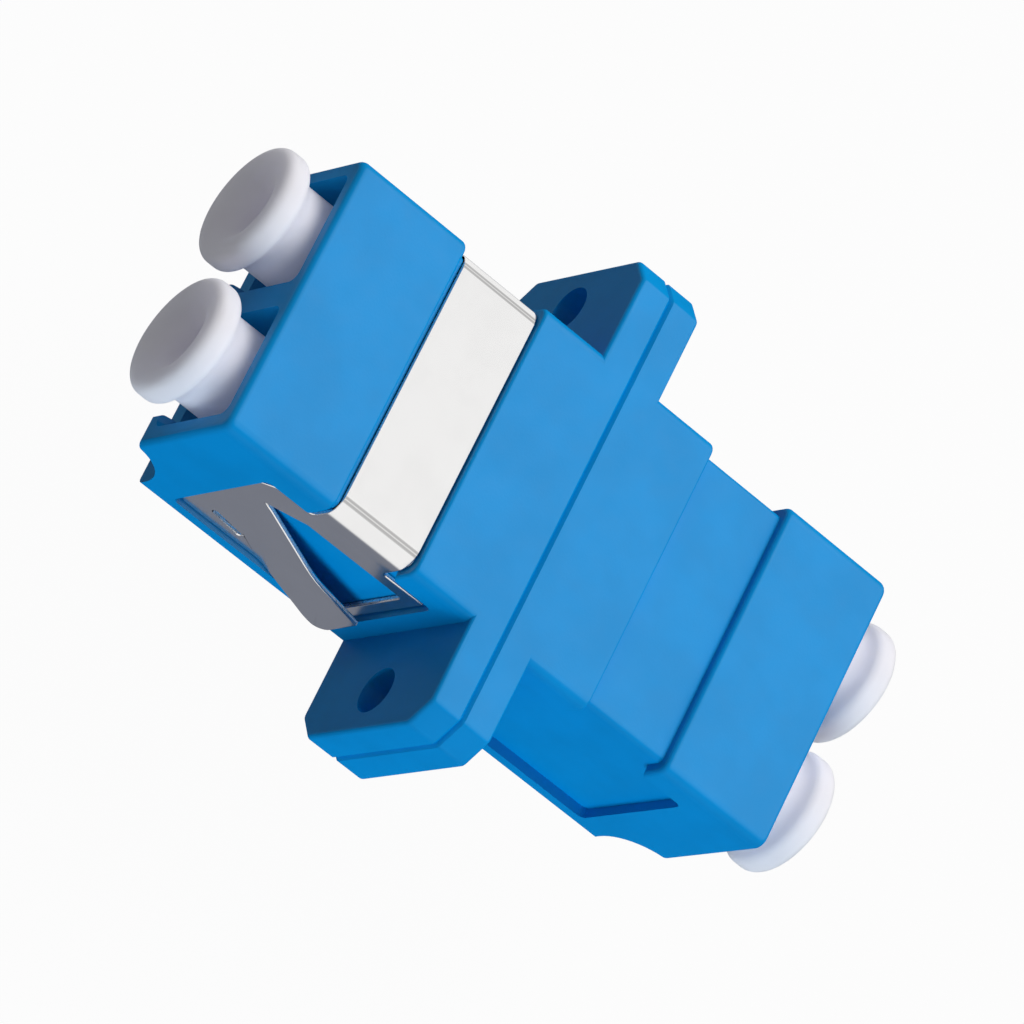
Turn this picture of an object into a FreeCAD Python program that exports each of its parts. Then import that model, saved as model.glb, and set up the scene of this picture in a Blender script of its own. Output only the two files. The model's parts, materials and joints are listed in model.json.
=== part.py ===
import FreeCAD, Part
import math
import os

# Duplex LC fibre-optic adapter with a flange of the SC simplex footprint.
# X runs along the ports, Y along the row of ports and the flange ears, Z up from the resting face.
# x = 0 is the weld plane in the middle of the flange. All sizes are in millimetres.

# Housing envelope
HOUSING_LENGTH = 29.7       # port face to port face
BODY_WIDTH = 12.8
BODY_HEIGHT = 9.1
TOP_EDGE_R = 0.55           # long edges of the broad face
BOTTOM_EDGE_R = 0.25        # long edges of the resting face
PORT_FACE_EDGE_R = 0.35     # outer rim of each port face, and the lip over the scoop
END_BLOCK_EDGE_R = 0.25     # rims of the raised blocks beside the clip recess
PAD_EDGE_R = 0.18

# Flange
FLANGE_WIDTH = 22.2
FLANGE_HALF_THICKNESS = 1.58
FLANGE_CHAMFER = 1.05
FLANGE_CORNER_R = 0.35
FLANGE_RIM_R = 0.22
WELD_GROOVE = 0.14          # chamfer of each half along the weld line
SCREW_HOLE_R = 1.05
SCREW_EDGE_DISTANCE = 1.9   # hole centre to the end of the ear

# Recess for the panel clip, moulded into both halves alike
RECESS_DEPTH = 0.45
RECESS_FLOOR_R = 0.32       # long edges of the recess floor
BAND_SLOT_START = 4.78      # from the weld plane
BAND_SLOT_END = 9.1
SIDE_RECESS_START = 2.55
SIDE_RECESS_END = 11.42
SIDE_RECESS_BOTTOM = 0.78
SIDE_RECESS_DROP = 1.58     # top of the side recess, below the broad face
SIDE_RIM_R = 0.15           # rim of the side recess
RECESS_CORNER_R = 0.3
PAD_CORNER_R = 0.4
END_BLOCK_CORNER_R = 0.3

# Ports
PORT_PITCH = 6.25
PORT_ROOF_WALL = 0.8        # between the plug bore and the broad face
PORT_SIZE = 4.7             # square bore for the plug body
PORT_CORNER_R = 0.25
MOUTH_LEAD = 0.2            # lead-in all round the mouth
MOUTH_LEAD_DEPTH = 0.5
LATCH_SLOT_WIDTH = 3.75
LATCH_SLOT_FLOOR = 0.85
LATCH_SLOT_START = 3.2
LATCH_LIP_R = 0.2
CATCH_START = 12.1          # the latch pocket ends at the catch shoulder
POCKET_START = 7.4
POCKET_FLOOR = 1.7
SCOOP_R = 2.2               # finger scoop under each port face
SCOOP_DEPTH = 2.15          # along the port
SCOOP_HEIGHT = 2.7

# Web, barrels and alignment sleeves
WEB_THICKNESS = 1.7         # from the weld plane
BARREL_R = 1.2
BARREL_LENGTH = 4.25        # from the weld plane
BARREL_LIP = 0.7
FERRULE_HOLE_R = 0.68
FERRULE_HOLE_LEAD = 0.2
SLEEVE_R = 0.81
SLEEVE_BORE_R = 0.625
SLEEVE_LENGTH = 6.8
SLEEVE_SLIT = 0.25
SLEEVE_CLEARANCE = 0.03
SLEEVE_END_CLEARANCE = 0.1

# Panel clip, folded from one strip
SHEET = 0.25
BEND_INNER_R = 0.32
BAND_CLEARANCE_PORT = 0.27  # gap to the end block
BAND_CLEARANCE_FLANGE = 0.07
PLATE_CLEARANCE = 0.1       # gap to the ends of the side recess
PLATE_BOTTOM_GAP = 0.05
PLATE_DROP = 0.37           # top of the side plate, below the top of the side recess
PLATE_CORNER_CUT = 0.65
PLATE_LOW_CORNER_R = 0.5
ARM_DROP = 0.62             # top of the hanging arm, below the top of the side recess
ARM_WIDTH = 0.65
ARM_BOTTOM = 1.6
ARM_SHOULDER_R = 0.2
WINDOW_DROP = 1.0           # top of the window, below the top of the side plate
WINDOW_SHOULDER = 1.6       # how far the sloping start of the window runs along X
WINDOW_SHOULDER_DROP = 0.75
LEG_ROOT_TOP_X = 9.95       # upper end of the slanted root line
LEG_ROOT_BOTTOM_X = 6.75
LEG_TIP_X = 3.0
LEG_TIP_DROP = 2.0          # how far the leg's upper edge falls towards its tip
LEG_TIP_R = 0.65
LEG_STAND_OFF = 0.82        # how far the leg is set outwards
LEG_SET_LENGTH = 2.5        # length of the set, square to the root line
LEG_BEND_R = 2.5
BARB_LENGTH = 1.8
BARB_WIDTH = 0.32
BARB_X = 10.2
BARB_Z = 1.92
BARB_SLOPE = 10.5           # degrees

# Dust caps
CAP_STEM_R = 2.03
CAP_BORE_CLEARANCE = 0.05
CAP_WEB_CLEARANCE = 0.3
CAP_LEAD = 0.3
CAP_BORE_DEPTH = 8.0
CAP_NECK_LENGTH = 0.45      # stem seen between the port face and the flare
CAP_FLARE_LENGTH = 1.09     # cove and rounded back of the head
CAP_COVE_SHARE = 0.64       # part of the flare that the cove takes
CAP_HEAD_R = 2.73
CAP_HEAD_LENGTH = 1.86      # flare and rim together
CAP_RIM_R = 0.42            # rounding of the front rim
CAP_PIT_R = 0.95            # blind pit that the bell-shaped mouth runs into
CAP_PIT_DEPTH = 5.0

HALF_LENGTH = HOUSING_LENGTH / 2
HALF_WIDTH = BODY_WIDTH / 2
FLOOR_HALF_WIDTH = HALF_WIDTH - RECESS_DEPTH
FLOOR_TOP = BODY_HEIGHT - RECESS_DEPTH
SIDE_RECESS_TOP = BODY_HEIGHT - SIDE_RECESS_DROP
PLATE_BOTTOM = SIDE_RECESS_BOTTOM + PLATE_BOTTOM_GAP
PLATE_TOP = SIDE_RECESS_TOP - PLATE_DROP
WINDOW_TOP = PLATE_TOP - WINDOW_DROP
LEG_ROOT_TOP_Z = WINDOW_TOP - WINDOW_SHOULDER_DROP
PORT_CENTRES = (-PORT_PITCH / 2, PORT_PITCH / 2)
PORT_ROOF = BODY_HEIGHT - PORT_ROOF_WALL
PORT_AXIS_Z = PORT_ROOF - PORT_SIZE / 2
PORT_FLOOR = PORT_ROOF - PORT_SIZE
SCREW_Y = FLANGE_WIDTH / 2 - SCREW_EDGE_DISTANCE
OVERRUN = 1.0               # how far cutting solids run past what they cut


def in_yz(x):
    """Return a function that places (y, z) in the plane square to the ports at x."""
    return lambda y, z: FreeCAD.Vector(x, y, z)


def in_xz(y):
    """Return a function that places (x, z) in the plane of a side face at y."""
    return lambda x, z: FreeCAD.Vector(x, y, z)


def in_xy(z):
    """Return a function that places (x, y) in the level plane at z."""
    return lambda x, y: FreeCAD.Vector(x, y, z)


def line_2d(start, end):
    """Straight edge between two (x, radius) points of a turned profile."""
    return Part.LineSegment(FreeCAD.Vector(*start, 0), FreeCAD.Vector(*end, 0)).toShape()


def arc_2d(start, middle, end):
    """Arc edge through three (x, radius) points of a turned profile."""
    points = [FreeCAD.Vector(*point, 0) for point in (start, middle, end)]
    return Part.Arc(*points).toShape()


def rounded_wire(corners, place):
    """Closed wire through (a, b, radius) corners, each radius an arc tangent to both sides."""
    starts, ends, arcs = [], [], []
    count = len(corners)
    for i, (a, b, radius) in enumerate(corners):
        here = place(a, b)
        to_last = (place(*corners[i - 1][:2]) - here).normalize()
        to_next = (place(*corners[(i + 1) % count][:2]) - here).normalize()
        if radius == 0:
            starts.append(here)
            ends.append(here)
            arcs.append(None)
            continue
        half_angle = to_last.getAngle(to_next) / 2
        reach = radius / math.tan(half_angle)
        inward = (to_last + to_next).normalize()
        middle = here + inward * (radius / math.sin(half_angle) - radius)
        starts.append(here + to_last * reach)
        ends.append(here + to_next * reach)
        arcs.append(Part.Arc(starts[-1], middle, ends[-1]).toShape())
    edges = []
    for i in range(count):
        if arcs[i]:
            edges.append(arcs[i])
        after = starts[(i + 1) % count]
        if ends[i].distanceToPoint(after) > 1e-6:
            edges.append(Part.LineSegment(ends[i], after).toShape())
    return Part.Wire(edges)


def prism(corners, place, run):
    """Solid from a rounded outline, pushed along the vector run."""
    return Part.Face(rounded_wire(corners, place)).extrude(run)


def prism_x(corners, start, end):
    """Solid of a YZ outline between two x positions."""
    return prism(corners, in_yz(start), FreeCAD.Vector(end - start, 0, 0))


def prism_y(corners, start, end):
    """Solid of an XZ outline between two y positions."""
    return prism(corners, in_xz(start), FreeCAD.Vector(0, end - start, 0))


def rectangle(low_a, low_b, high_a, high_b, radius):
    """Corners of a rectangle whose four corners share one radius."""
    return [(low_a, low_b, radius), (high_a, low_b, radius),
            (high_a, high_b, radius), (low_a, high_b, radius)]


def bottomed_section(half_width, top, top_r):
    """Section with the resting face at z = 0 and its own radius along the top edges."""
    return [(-half_width, 0, BOTTOM_EDGE_R), (half_width, 0, BOTTOM_EDGE_R),
            (half_width, top, top_r), (-half_width, top, top_r)]


def rim_edges(solid, x, above):
    """Edges of the solid that lie in the plane x and reach higher than z = above."""
    chosen = []
    for edge in solid.Edges:
        box = edge.BoundBox
        if abs(box.XMin - x) < 1e-6 and abs(box.XMax - x) < 1e-6 and box.ZMax > above:
            chosen.append(edge)
    return chosen


def tube_x(radius, start, end, y):
    """Round bar along X on the axis of the port at y."""
    foot = FreeCAD.Vector(start, y, PORT_AXIS_Z)
    return Part.makeCylinder(radius, end - start, foot, FreeCAD.Vector(1, 0, 0))


def flange_half():
    """Half of the flange: two ears with chamfered corners, screw holes and the weld chamfer."""
    half = FLANGE_WIDTH / 2
    low = FLANGE_CHAMFER
    high = BODY_HEIGHT - FLANGE_CHAMFER
    inset = half - FLANGE_CHAMFER
    r = FLANGE_CORNER_R
    outline = [(-inset, 0, r), (inset, 0, r), (half, low, r), (half, high, r),
               (inset, BODY_HEIGHT, r), (-inset, BODY_HEIGHT, r), (-half, high, r), (-half, low, r)]
    plate = prism_x(outline, 0, FLANGE_HALF_THICKNESS)
    plate = plate.makeFillet(FLANGE_RIM_R, rim_edges(plate, FLANGE_HALF_THICKNESS, -1))
    plate = plate.makeChamfer(WELD_GROOVE, rim_edges(plate, 0, -1))
    for side in (-1, 1):
        foot = FreeCAD.Vector(-OVERRUN, side * SCREW_Y, BODY_HEIGHT / 2)
        length = FLANGE_HALF_THICKNESS + 2 * OVERRUN
        plate = plate.cut(Part.makeCylinder(SCREW_HOLE_R, length, foot, FreeCAD.Vector(1, 0, 0)))
    return plate


def full_block(start, end):
    """Length of the full body section."""
    return prism_x(bottomed_section(HALF_WIDTH, BODY_HEIGHT, TOP_EDGE_R), start, end)


def end_block():
    """Block round the port mouths, scooped out below and rounded along its rims."""
    block = full_block(BAND_SLOT_END, HALF_LENGTH).cut(scoop())
    block = block.makeFillet(PORT_FACE_EDGE_R, rim_edges(block, HALF_LENGTH, BOTTOM_EDGE_R))
    return block.makeFillet(END_BLOCK_EDGE_R, rim_edges(block, BAND_SLOT_END, BOTTOM_EDGE_R))


def flange_pad():
    """Pad between the clip's band and the flange."""
    block = full_block(WELD_GROOVE, BAND_SLOT_START)
    return block.makeFillet(PAD_EDGE_R, rim_edges(block, BAND_SLOT_START, BOTTOM_EDGE_R))


def clip_recess():
    """Through-cut of the clip recess: a slot for the band over a longer recess in the sides."""
    above = BODY_HEIGHT + OVERRUN
    outline = [
        (SIDE_RECESS_START, SIDE_RECESS_BOTTOM, RECESS_CORNER_R),
        (SIDE_RECESS_END, SIDE_RECESS_BOTTOM, RECESS_CORNER_R),
        (SIDE_RECESS_END, SIDE_RECESS_TOP, RECESS_CORNER_R),
        (BAND_SLOT_END, SIDE_RECESS_TOP, END_BLOCK_CORNER_R),
        (BAND_SLOT_END, above, 0),
        (BAND_SLOT_START, above, 0),
        (BAND_SLOT_START, SIDE_RECESS_TOP, PAD_CORNER_R),
        (SIDE_RECESS_START, SIDE_RECESS_TOP, RECESS_CORNER_R),
    ]
    reach = HALF_WIDTH + OVERRUN
    return prism_y(outline, -reach, reach)


def outer_form():
    """Outside of one half: recess floor, end block, pad beside the flange, and the flange."""
    floor = prism_x(bottomed_section(FLOOR_HALF_WIDTH, FLOOR_TOP, RECESS_FLOOR_R),
                    WELD_GROOVE, SIDE_RECESS_END + OVERRUN)
    above_sill = Part.makeBox(HOUSING_LENGTH, 2 * BODY_WIDTH, BODY_HEIGHT,
                              FreeCAD.Vector(-OVERRUN, -BODY_WIDTH, SIDE_RECESS_BOTTOM))
    sill = full_block(WELD_GROOVE, SIDE_RECESS_END + OVERRUN).cut(above_sill)
    raised = end_block().fuse(flange_pad()).cut(clip_recess())
    body = raised.fuse([floor, sill]).removeSplitter()
    return body.fuse(flange_half()).removeSplitter()


def port_cavity(y):
    """Space of one port: plug bore, mouth lead-in, latch slot and latch pocket."""
    half = PORT_SIZE / 2
    bore = prism_x(rectangle(y - half, PORT_FLOOR, y + half, PORT_ROOF, PORT_CORNER_R),
                   WEB_THICKNESS, HALF_LENGTH + OVERRUN)
    inner = rounded_wire(rectangle(y - half, PORT_FLOOR, y + half, PORT_ROOF, PORT_CORNER_R),
                         in_yz(HALF_LENGTH - MOUTH_LEAD_DEPTH))
    wide = half + MOUTH_LEAD
    outer = rounded_wire(rectangle(y - wide, PORT_FLOOR - MOUTH_LEAD, y + wide,
                                   PORT_ROOF + MOUTH_LEAD, PORT_CORNER_R + MOUTH_LEAD),
                         in_yz(HALF_LENGTH))
    mouth = Part.makeLoft([inner, outer], True)
    pocket = prism_x(rectangle(y - half, POCKET_FLOOR, y + half, PORT_AXIS_Z, PORT_CORNER_R),
                     POCKET_START, CATCH_START)
    return bore.fuse([mouth, pocket, latch_slot(y)])


def latch_slot(y):
    """Slot under the plug bore, open at the port face, with rounded lips at its mouth."""
    half = LATCH_SLOT_WIDTH / 2
    beyond = HALF_LENGTH + OVERRUN
    outline = [
        (LATCH_SLOT_START, y - half, 0),
        (HALF_LENGTH, y - half, LATCH_LIP_R),
        (HALF_LENGTH, y - half - LATCH_LIP_R, 0),
        (beyond, y - half - LATCH_LIP_R, 0),
        (beyond, y + half + LATCH_LIP_R, 0),
        (HALF_LENGTH, y + half + LATCH_LIP_R, 0),
        (HALF_LENGTH, y + half, LATCH_LIP_R),
        (LATCH_SLOT_START, y + half, 0),
    ]
    height = PORT_AXIS_Z - LATCH_SLOT_FLOOR
    return prism(outline, in_xy(LATCH_SLOT_FLOOR), FreeCAD.Vector(0, 0, height))


def scoop():
    """Finger scoop across the full width, under the port face."""
    start = HALF_LENGTH - SCOOP_DEPTH
    beyond = start + SCOOP_R + OVERRUN
    outline = [(start, -OVERRUN, 0), (beyond, -OVERRUN, 0),
               (beyond, SCOOP_HEIGHT, 0), (start, SCOOP_HEIGHT, SCOOP_R)]
    reach = HALF_WIDTH + OVERRUN
    return prism_y(outline, -reach, reach)


def barrel(y):
    """Barrel that carries half of an alignment sleeve, standing out of the web into the port."""
    return tube_x(BARREL_R, 0, BARREL_LENGTH, y)


def barrel_bore(y):
    """Sleeve seat, ferrule hole and its lead-in, cut through the web and the barrel."""
    seat_end = SLEEVE_LENGTH / 2 + SLEEVE_END_CLEARANCE
    seat = tube_x(SLEEVE_R + SLEEVE_CLEARANCE, -OVERRUN, seat_end, y)
    hole = tube_x(FERRULE_HOLE_R, seat_end - FERRULE_HOLE_LEAD, BARREL_LENGTH + OVERRUN, y)
    lead = Part.makeCone(FERRULE_HOLE_R, FERRULE_HOLE_R + FERRULE_HOLE_LEAD, FERRULE_HOLE_LEAD,
                         FreeCAD.Vector(BARREL_LENGTH - FERRULE_HOLE_LEAD, y, PORT_AXIS_Z),
                         FreeCAD.Vector(1, 0, 0))
    return seat.fuse([hole, lead])


def housing_half():
    """One moulded half of the housing, on the +X side of the weld plane."""
    solid = outer_form().cut([port_cavity(y) for y in PORT_CENTRES])
    solid = solid.fuse([barrel(y) for y in PORT_CENTRES])
    return solid.cut([barrel_bore(y) for y in PORT_CENTRES]).removeSplitter()


def turned(solid):
    """Copy of a solid turned half round the Z axis, on to the -X side."""
    copy = solid.copy()
    copy.rotate(FreeCAD.Vector(0, 0, 0), FreeCAD.Vector(0, 0, 1), 180)
    return copy


def alignment_sleeve(y):
    """Split ceramic sleeve that lines up the two ferrules of one channel."""
    half = SLEEVE_LENGTH / 2
    sleeve = tube_x(SLEEVE_R, -half, half, y).cut(tube_x(SLEEVE_BORE_R, -half, half, y))
    slit = Part.makeBox(SLEEVE_LENGTH, SLEEVE_SLIT, SLEEVE_R + OVERRUN,
                        FreeCAD.Vector(-half, y - SLEEVE_SLIT / 2, PORT_AXIS_Z))
    return sleeve.cut(slit)


def folded_strip():
    """Channel of sheet that lies on the top and side floors of the recess, full length."""
    inner = [(-FLOOR_HALF_WIDTH, -OVERRUN, 0), (FLOOR_HALF_WIDTH, -OVERRUN, 0),
             (FLOOR_HALF_WIDTH, FLOOR_TOP, BEND_INNER_R), (-FLOOR_HALF_WIDTH, FLOOR_TOP, BEND_INNER_R)]
    wide = FLOOR_HALF_WIDTH + SHEET
    bend = BEND_INNER_R + SHEET
    outer = [(-wide, -OVERRUN, 0), (wide, -OVERRUN, 0),
             (wide, FLOOR_TOP + SHEET, bend), (-wide, FLOOR_TOP + SHEET, bend)]
    start = SIDE_RECESS_START + PLATE_CLEARANCE
    end = SIDE_RECESS_END - PLATE_CLEARANCE
    return prism_x(outer, start, end).cut(prism_x(inner, start, end))


def clip_outline():
    """Side view of the clip: band, side plate and hanging arm, with the window for the leg."""
    port_end = SIDE_RECESS_END - PLATE_CLEARANCE
    arm_end = SIDE_RECESS_START + PLATE_CLEARANCE
    arm_start = arm_end + ARM_WIDTH
    arm_top = SIDE_RECESS_TOP - ARM_DROP
    band_start = BAND_SLOT_START + BAND_CLEARANCE_FLANGE
    band_end = BAND_SLOT_END - BAND_CLEARANCE_PORT
    above = BODY_HEIGHT + OVERRUN
    return [
        (port_end, PLATE_BOTTOM, PLATE_LOW_CORNER_R),
        (port_end, PLATE_TOP - PLATE_CORNER_CUT, RECESS_CORNER_R),
        (port_end - PLATE_CORNER_CUT, PLATE_TOP, RECESS_CORNER_R),
        (band_end, PLATE_TOP, RECESS_CORNER_R),
        (band_end, above, 0),
        (band_start, above, 0),
        (band_start, arm_top, ARM_SHOULDER_R),
        (arm_end, arm_top, 0),
        (arm_end, ARM_BOTTOM, 0),
        (arm_start, ARM_BOTTOM, 0),
        (arm_start, WINDOW_TOP, ARM_SHOULDER_R),
        (LEG_ROOT_TOP_X - WINDOW_SHOULDER, WINDOW_TOP, ARM_SHOULDER_R),
        (LEG_ROOT_TOP_X, LEG_ROOT_TOP_Z, 0),
        (LEG_ROOT_BOTTOM_X, PLATE_BOTTOM, 0),
    ]


def leg_outline():
    """Side view of the spring leg, overlapping the plate a little behind its root line."""
    return [
        (LEG_ROOT_BOTTOM_X + SHEET, PLATE_BOTTOM, 0),
        (LEG_TIP_X, PLATE_BOTTOM, LEG_TIP_R),
        (LEG_TIP_X, LEG_ROOT_TOP_Z - LEG_TIP_DROP, 0),
        (LEG_ROOT_TOP_X, LEG_ROOT_TOP_Z, 0),
        (LEG_ROOT_TOP_X + SHEET, LEG_ROOT_TOP_Z, 0),
    ]


def set_line(offset):
    """Plan line of the leg, offset across the sheet: flat, set outwards over two bends, flat."""
    far = LEG_ROOT_TOP_X
    inner_r = LEG_BEND_R - offset
    outer_r = LEG_BEND_R + offset
    rise = LEG_STAND_OFF
    slope = math.atan2(rise, LEG_SET_LENGTH)
    shift = offset * math.tan(slope / 2)
    return [(-OVERRUN, offset, 0), (-shift, offset, inner_r),
            (LEG_SET_LENGTH - shift, rise + offset, outer_r), (far, rise + offset, 0)]


def set_strip():
    """Sheet with the leg's outward set, square to the slanted root line."""
    near = set_line(0)
    outer = set_line(SHEET)
    root_top = FreeCAD.Vector(LEG_ROOT_TOP_X, 0, LEG_ROOT_TOP_Z)
    root_bottom = FreeCAD.Vector(LEG_ROOT_BOTTOM_X, 0, PLATE_BOTTOM)
    along = (root_bottom - root_top).normalize()
    out = FreeCAD.Vector(0, -1, 0)
    across = along.cross(out)
    if across.x > 0:
        across = across.negative()
    foot = FreeCAD.Vector(root_top.x, -FLOOR_HALF_WIDTH, root_top.z) - along * BODY_HEIGHT
    place = lambda run, rise: foot + across * run + out * rise
    return prism(near + outer[::-1], place, along * (3 * BODY_HEIGHT))


def spring_leg():
    """Spring leg on the -Y side, cut from the set strip."""
    reach = HALF_WIDTH + BODY_WIDTH
    return set_strip().common(prism_y(leg_outline(), -reach, 0))


def barb_slit():
    """Slanted slit beside the root of each leg, through both side plates."""
    half = BARB_WIDTH / 2
    reach = HALF_WIDTH + OVERRUN
    slit = prism_y(rectangle(-BARB_LENGTH, -half, 0, half, half * 0.98), -reach, reach)
    slit.rotate(FreeCAD.Vector(0, 0, 0), FreeCAD.Vector(0, 1, 0), -BARB_SLOPE)
    slit.translate(FreeCAD.Vector(BARB_X, 0, BARB_Z))
    return slit


def panel_clip():
    """Folded clip with its two spring legs, in the recess of the half on the -X side."""
    reach = HALF_WIDTH + BODY_WIDTH
    body = folded_strip().common(prism_y(clip_outline(), -reach, reach))
    leg = spring_leg()
    other_leg = leg.mirror(FreeCAD.Vector(0, 0, 0), FreeCAD.Vector(0, 1, 0))
    clip = body.fuse([leg, other_leg]).cut(barb_slit()).removeSplitter()
    return clip.mirror(FreeCAD.Vector(0, 0, 0), FreeCAD.Vector(1, 0, 0))


def cap_profile():
    """Half section of a dust cap, as edges in (x, radius) from its inner end round to its bore."""
    start = WEB_THICKNESS + CAP_WEB_CLEARANCE
    bore_r = BARREL_R + CAP_BORE_CLEARANCE
    bore_end = start + CAP_BORE_DEPTH
    neck = HALF_LENGTH + CAP_NECK_LENGTH
    flare = neck + CAP_FLARE_LENGTH
    front = neck + CAP_HEAD_LENGTH
    rise = CAP_HEAD_R - CAP_STEM_R
    half_turn = math.atan(rise / CAP_FLARE_LENGTH)
    flare_r = CAP_FLARE_LENGTH / math.sin(2 * half_turn)
    sag = flare_r * (1 - math.cos(half_turn))
    reach = flare_r * math.sin(half_turn)
    back_share = 1 - CAP_COVE_SHARE
    cove_middle = (neck + CAP_COVE_SHARE * reach, CAP_STEM_R + CAP_COVE_SHARE * sag)
    cove_end = (neck + CAP_COVE_SHARE * CAP_FLARE_LENGTH, CAP_STEM_R + CAP_COVE_SHARE * rise)
    back_middle = (flare - back_share * reach, CAP_HEAD_R - back_share * sag)
    corner = 1 - math.cos(math.pi / 4)
    rim_middle = (front - CAP_RIM_R * corner, CAP_HEAD_R - CAP_RIM_R * corner)
    crest = (front, CAP_HEAD_R - CAP_RIM_R)
    bell_r = crest[1] - CAP_PIT_R
    bell_middle = (front - bell_r * corner, crest[1] - bell_r * math.cos(math.pi / 4))
    bell_end = (front - bell_r, CAP_PIT_R)
    pit_end = front - CAP_PIT_DEPTH
    return [
        line_2d((start, bore_r), (start, CAP_STEM_R - CAP_LEAD)),
        line_2d((start, CAP_STEM_R - CAP_LEAD), (start + CAP_LEAD, CAP_STEM_R)),
        line_2d((start + CAP_LEAD, CAP_STEM_R), (neck, CAP_STEM_R)),
        arc_2d((neck, CAP_STEM_R), cove_middle, cove_end),
        arc_2d(cove_end, back_middle, (flare, CAP_HEAD_R)),
        line_2d((flare, CAP_HEAD_R), (front - CAP_RIM_R, CAP_HEAD_R)),
        arc_2d((front - CAP_RIM_R, CAP_HEAD_R), rim_middle, crest),
        arc_2d(crest, bell_middle, bell_end),
        line_2d(bell_end, (pit_end, CAP_PIT_R)),
        line_2d((pit_end, CAP_PIT_R), (pit_end, 0)),
        line_2d((pit_end, 0), (bore_end, 0)),
        line_2d((bore_end, 0), (bore_end, bore_r)),
        line_2d((bore_end, bore_r), (start, bore_r)),
    ]


def dust_cap(y):
    """Dust cap in the +X port at y, pushed over the barrel."""
    face = Part.Face(Part.Wire(cap_profile()))
    cap = face.revolve(FreeCAD.Vector(0, 0, 0), FreeCAD.Vector(1, 0, 0), 360)
    cap.translate(FreeCAD.Vector(0, y, PORT_AXIS_Z))
    return cap


def all_nodes():
    """Every separate piece of the adapter, by node name."""
    plain_half = housing_half()
    low_y, high_y = PORT_CENTRES
    return {
        "housing_half_plain_end": plain_half,
        "housing_half_clip_end": turned(plain_half),
        "panel_clip": panel_clip(),
        "alignment_sleeve_a": alignment_sleeve(low_y),
        "alignment_sleeve_b": alignment_sleeve(high_y),
        "dust_cap_plain_end_a": dust_cap(low_y),
        "dust_cap_plain_end_b": dust_cap(high_y),
        "dust_cap_clip_end_a": turned(dust_cap(high_y)),
        "dust_cap_clip_end_b": turned(dust_cap(low_y)),
    }


def main():
    """Build every piece and write one STEP file for each."""
    os.makedirs("parts", exist_ok=True)
    for name, shape in all_nodes().items():
        shape.exportStep(f"parts/{name}.step")
        box = shape.BoundBox
        print(f"{name}: valid {shape.isValid()}, solids {len(shape.Solids)}, "
              f"volume {shape.Volume:.2f}, x {box.XMin:.2f}..{box.XMax:.2f}, "
              f"y {box.YMin:.2f}..{box.YMax:.2f}, z {box.ZMin:.2f}..{box.ZMax:.2f}")


if __name__ == "__main__":
    main()
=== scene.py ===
"""Dresses a duplex fibre adapter: two welded housing halves, a spring clip and four dust caps.

Lengths in the classes are in millimetres unless a name says otherwise; the scene itself is in metres.
"""
from __future__ import annotations

import json
import logging
import math
from dataclasses import dataclass
from enum import Enum
from typing import Any, Sequence
import bpy
from mathutils import Matrix, Vector

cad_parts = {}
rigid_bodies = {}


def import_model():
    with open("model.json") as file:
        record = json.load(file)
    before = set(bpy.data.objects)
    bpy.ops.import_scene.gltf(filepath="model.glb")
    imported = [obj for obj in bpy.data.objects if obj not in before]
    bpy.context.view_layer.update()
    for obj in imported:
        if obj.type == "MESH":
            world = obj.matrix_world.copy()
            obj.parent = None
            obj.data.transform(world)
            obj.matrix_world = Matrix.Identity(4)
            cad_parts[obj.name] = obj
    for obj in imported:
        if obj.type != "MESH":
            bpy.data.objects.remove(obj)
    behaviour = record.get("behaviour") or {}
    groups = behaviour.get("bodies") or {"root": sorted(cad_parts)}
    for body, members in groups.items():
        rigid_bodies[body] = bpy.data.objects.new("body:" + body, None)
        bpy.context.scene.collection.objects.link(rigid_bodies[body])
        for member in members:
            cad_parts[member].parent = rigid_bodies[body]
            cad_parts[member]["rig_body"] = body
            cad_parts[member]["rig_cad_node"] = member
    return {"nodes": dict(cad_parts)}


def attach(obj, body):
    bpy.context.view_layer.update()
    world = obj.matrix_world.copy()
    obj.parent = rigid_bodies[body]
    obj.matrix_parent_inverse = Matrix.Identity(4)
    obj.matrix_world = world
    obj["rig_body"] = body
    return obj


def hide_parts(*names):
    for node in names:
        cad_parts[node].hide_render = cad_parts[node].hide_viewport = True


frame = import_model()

LOG = logging.getLogger("adapter")
MM = 0.001
MERGE = 0.0005 * MM
FLAT_WITHIN = 0.6           # degrees between faces that count as one flat face
CLOUD_FROM = 0.3            # noise at which a soft patch starts
CLOUD_FULL = 0.7            # noise at which it is full
PORT_PITCH = 6.25           # between the two ports of one end

Colour = tuple[float, float, float]
Point = tuple[float, float, float]
FlatPoint = tuple[float, float]


class Body(Enum):
    """The bodies that move."""

    ADAPTER = "adapter"
    CAP_PLAIN_A = "cap_plain_a"
    CAP_PLAIN_B = "cap_plain_b"
    CAP_CLIP_A = "cap_clip_a"
    CAP_CLIP_B = "cap_clip_b"


class Slot(Enum):
    """The parts-list finishes of the pieces that are made here."""

    HOUSING = "housing"
    STEEL = "clip_steel"
    CAP = "cap"


class End(Enum):
    """The two ends of the adapter."""

    PLAIN = "plain"
    CLIP = "clip"

    @property
    def sign(self) -> int:
        """Side of the weld plane that the end lies on."""
        return 1 if self is End.PLAIN else -1


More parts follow.
